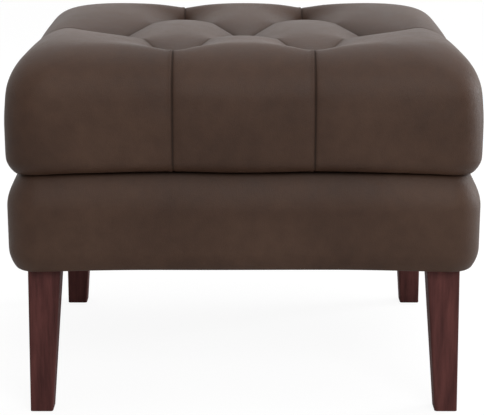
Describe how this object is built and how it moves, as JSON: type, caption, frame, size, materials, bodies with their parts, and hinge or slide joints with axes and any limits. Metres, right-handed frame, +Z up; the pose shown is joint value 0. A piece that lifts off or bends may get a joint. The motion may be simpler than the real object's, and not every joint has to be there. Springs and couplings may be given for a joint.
{
  "type": "ottoman coffee table",
  "caption": "Low square-cornered leather ottoman with a diamond-tufted cushion over a padded band, on tapered square wooden legs.",
  "frame": {"origin": "on the floor, under the middle of the piece", "axes": "+X to the right seen from the front, +Y from front to back, +Z up"},
  "size_m": [0.615, 0.535, 0.4911],
  "materials": {
    "leather": "semi-matte, fine grain",
    "leg_wood": "dark red-brown stain, satin",
    "frame_wood": "raw",
    "dowel_wood": "raw",
    "plywood": "raw",
    "foam": "open-cell foam",
    "wadding": "polyester wadding",
    "twine": "waxed",
    "cardboard": "pressed card",
    "dust_cloth": "non-woven, matte",
    "glide_nylon": "moulded",
    "zinc_steel": "zinc plated",
    "staple_steel": "galvanised"
  },
  "bodies": {
    "root": {"leg_front_left": "leg_wood", "leg_front_right": "leg_wood", "leg_back_left": "leg_wood", "leg_back_right": "leg_wood", "glides": "glide_nylon", "leg_bolts": "zinc_steel", "leg_inserts": "zinc_steel", "corner_post_front_left": "frame_wood", "corner_post_front_right": "frame_wood", "corner_post_back_left": "frame_wood", "corner_post_back_right": "frame_wood", "front_rail": "frame_wood", "back_rail": "frame_wood", "left_rail": "frame_wood", "right_rail": "frame_wood", "brace_left": "frame_wood", "brace_right": "frame_wood", "frame_dowels": "dowel_wood", "brace_screws": "zinc_steel", "deck_board": "plywood", "deck_screws": "zinc_steel", "cushion_foam": "foam", "cushion_cover": "leather", "tuft_twines": "twine", "tuft_washers": "zinc_steel", "tack_strip": "cardboard", "band_padding": "wadding", "band_cover": "leather", "dust_cover": "dust_cloth", "dust_cover_staples": "staple_steel"}
  },
  "joints": []
}
